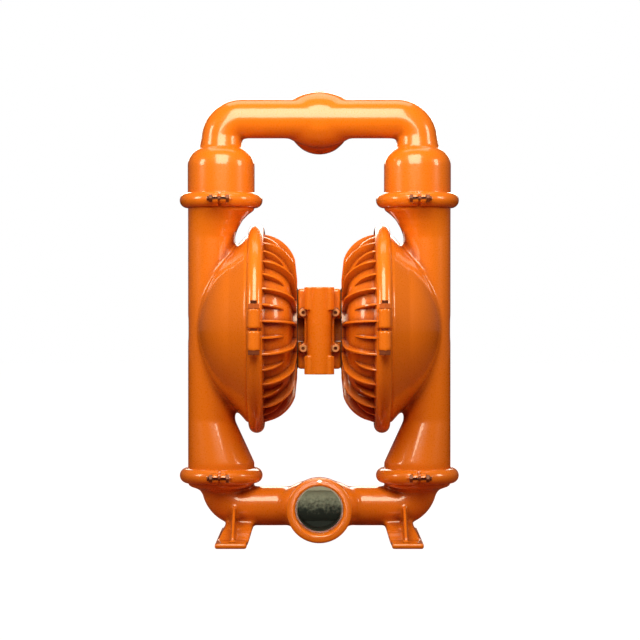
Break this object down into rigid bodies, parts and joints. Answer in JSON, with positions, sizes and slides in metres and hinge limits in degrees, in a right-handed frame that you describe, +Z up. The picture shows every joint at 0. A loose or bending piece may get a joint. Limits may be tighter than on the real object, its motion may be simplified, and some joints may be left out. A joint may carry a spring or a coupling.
{
  "type": "air operated diaphragm pump",
  "caption": "Double diaphragm pump with domed liquid chambers, ribbed air chambers, clamped ball valve manifolds and cast feet, driven by compressed air.",
  "frame": {"origin": "centre of the four foot bolt holes, on the floor under the feet", "axes": "+Z up, +X to the right across the two chambers, -Y towards the liquid inlet's mouth"},
  "size_m": [0.505, 0.418, 0.821],
  "materials": {
    "anodised_alloy": "turned alloy",
    "bronze": "bearing bronze",
    "elastomer": "moulded rubber",
    "gasket_sheet": "cut gasket sheet",
    "ground_steel": "ground shaft and spool",
    "machined_iron": "bare machined iron",
    "orange_enamel": "glossy baked enamel over iron castings",
    "painted_screw": "painted over with the casting",
    "plated_steel": "zinc plated fasteners"
  },
  "bodies": {
    "pump_body": {"air_chamber_bolts": "plated_steel", "air_valve_body": "orange_enamel", "air_valve_gasket": "gasket_sheet", "air_valve_screws": "painted_screw", "center_block": "orange_enamel", "discharge_manifold": "orange_enamel", "inlet_manifold": "orange_enamel", "large_clamp_bolts": "plated_steel", "large_clamp_nuts": "plated_steel", "left_air_chamber": "orange_enamel", "left_block_gasket": "gasket_sheet", "left_diaphragm": "elastomer", "left_discharge_clamp_inner_half": "orange_enamel", "left_discharge_clamp_outer_half": "orange_enamel", "left_discharge_valve_seat": "machined_iron", "left_inlet_clamp_inner_half": "orange_enamel", "left_inlet_clamp_outer_half": "orange_enamel", "left_inlet_valve_seat": "machined_iron", "left_liquid_chamber": "orange_enamel", "left_lower_large_clamp": "orange_enamel", "left_shaft_bushing": "bronze", "left_shaft_seal": "elastomer", "left_upper_large_clamp": "orange_enamel", "right_air_chamber": "orange_enamel", "right_block_gasket": "gasket_sheet", "right_diaphragm": "elastomer", "right_discharge_clamp_inner_half": "orange_enamel", "right_discharge_clamp_outer_half": "orange_enamel", "right_discharge_valve_seat": "machined_iron", "right_inlet_clamp_inner_half": "orange_enamel", "right_inlet_clamp_outer_half": "orange_enamel", "right_inlet_valve_seat": "machined_iron", "right_liquid_chamber": "orange_enamel", "right_lower_large_clamp": "orange_enamel", "right_shaft_bushing": "bronze", "right_shaft_seal": "elastomer", "right_upper_large_clamp": "orange_enamel", "seat_rings": "elastomer", "small_clamp_bolts": "plated_steel", "small_clamp_nuts": "plated_steel", "valve_bottom_cap": "anodised_alloy", "valve_cap_rings": "elastomer", "valve_snap_rings": "plated_steel", "valve_top_cap": "anodised_alloy"},
    "shaft_assembly": {"shaft": "ground_steel", "left_inner_plate": "machined_iron", "left_outer_plate": "machined_iron", "right_inner_plate": "machined_iron", "right_outer_plate": "machined_iron"},
    "left_inlet_check": {"left_inlet_ball": "elastomer"},
    "right_inlet_check": {"right_inlet_ball": "elastomer"},
    "left_discharge_check": {"left_discharge_ball": "elastomer"},
    "right_discharge_check": {"right_discharge_ball": "elastomer"},
    "air_valve_spool": {"valve_spool": "ground_steel"}
  },
  "joints": [
    {"name": "shaft_stroke", "type": "slide", "parent": "pump_body", "child": "shaft_assembly", "axis": [1, 0, 0], "range_m": [-0.03, 0.03], "deforming": ["left_diaphragm", "right_diaphragm"]},
    {"name": "left_inlet_ball_lift", "type": "slide", "parent": "pump_body", "child": "left_inlet_check", "axis": [0, 0, 1], "range_m": [0, 0.02]},
    {"name": "left_discharge_ball_lift", "type": "slide", "parent": "pump_body", "child": "left_discharge_check", "axis": [0, 0, 1], "range_m": [0, 0.02]},
    {"name": "right_inlet_ball_lift", "type": "slide", "parent": "pump_body", "child": "right_inlet_check", "axis": [0, 0, 1], "range_m": [0, 0.02]},
    {"name": "right_discharge_ball_lift", "type": "slide", "parent": "pump_body", "child": "right_discharge_check", "axis": [0, 0, 1], "range_m": [0, 0.02]},
    {"name": "spool_shift", "type": "slide", "parent": "pump_body", "child": "air_valve_spool", "axis": [0, 0, 1], "range_m": [0, 0.016]}
  ]
}
